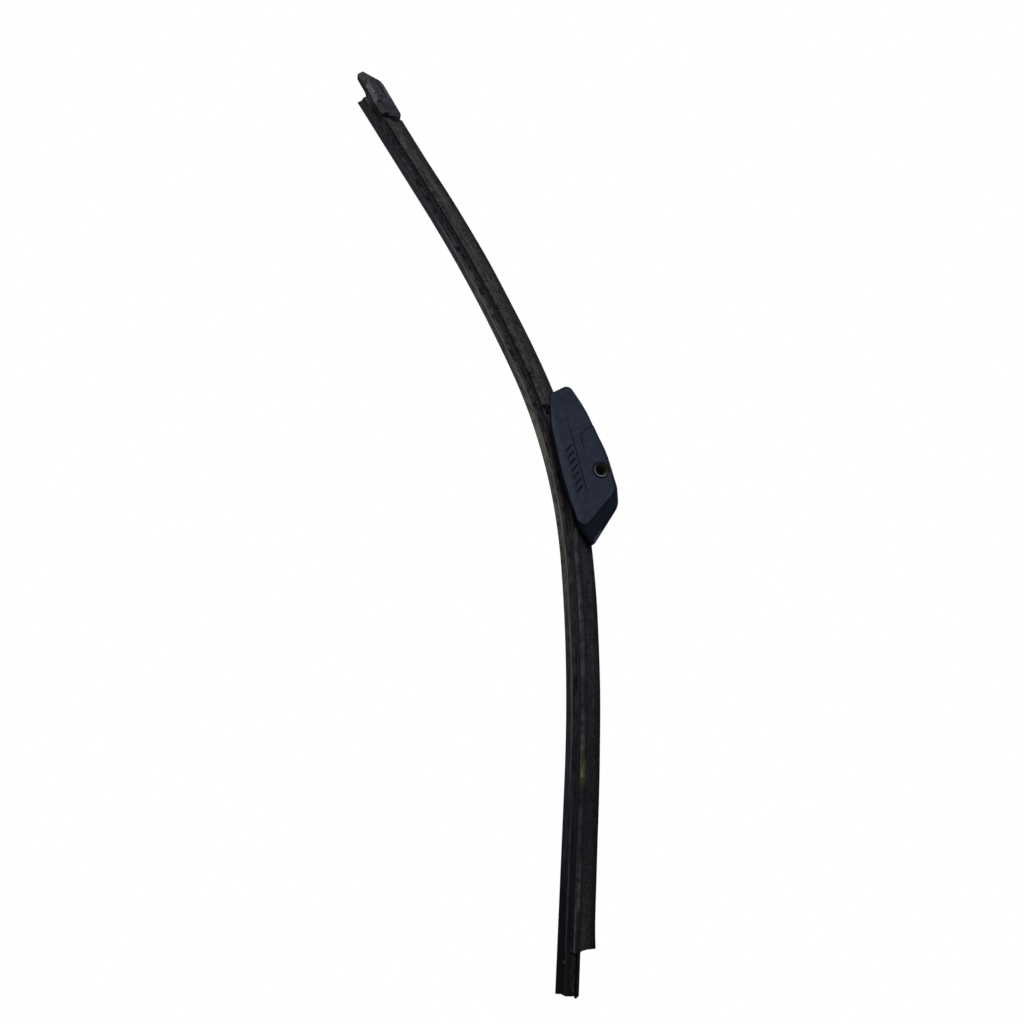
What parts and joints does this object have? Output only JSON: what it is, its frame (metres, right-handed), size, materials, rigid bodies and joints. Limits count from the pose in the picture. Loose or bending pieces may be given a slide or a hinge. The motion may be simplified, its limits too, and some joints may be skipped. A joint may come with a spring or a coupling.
{
  "type": "wiper blade",
  "caption": "Curved beam wiper blade: rubber lip on spring rails, split spoiler fin, riveted middle connector with a swinging hook adapter, and a moulded cap on one end.",
  "frame": {"origin": "middle of the hollow rivet that the blade turns on", "axes": "+X along the blade to its bare end, +Y along the rivet, +Z away from the glass"},
  "size_m": [0.4524, 0.0194, 0.0838],
  "materials": {
    "lip_rubber": "matt, dusty",
    "rail_steel": "dark, rusty",
    "spoiler_rubber": "matt",
    "sleeve_steel": "bright, worn",
    "bracket_steel": "black, satin",
    "housing_plastic": "satin, navy grey",
    "adapter_plastic": "satin",
    "cap_plastic": "worn, chalky"
  },
  "bodies": {
    "blade": {"wiping_rubber": "lip_rubber", "rail_near": "rail_steel", "rail_far": "rail_steel", "spoiler_upper": "spoiler_rubber", "spoiler_lower": "spoiler_rubber", "pivot_sleeve": "sleeve_steel", "bracket": "bracket_steel", "connector_housing": "housing_plastic", "end_cap": "cap_plastic"},
    "adapter": {"hook_adapter": "adapter_plastic"}
  },
  "joints": [
    {"name": "adapter", "type": "hinge", "parent": "blade", "child": "adapter", "pos_m": [0, 0, 0], "axis": [0, 1, 0], "range_deg": [0, 85]}
  ]
}
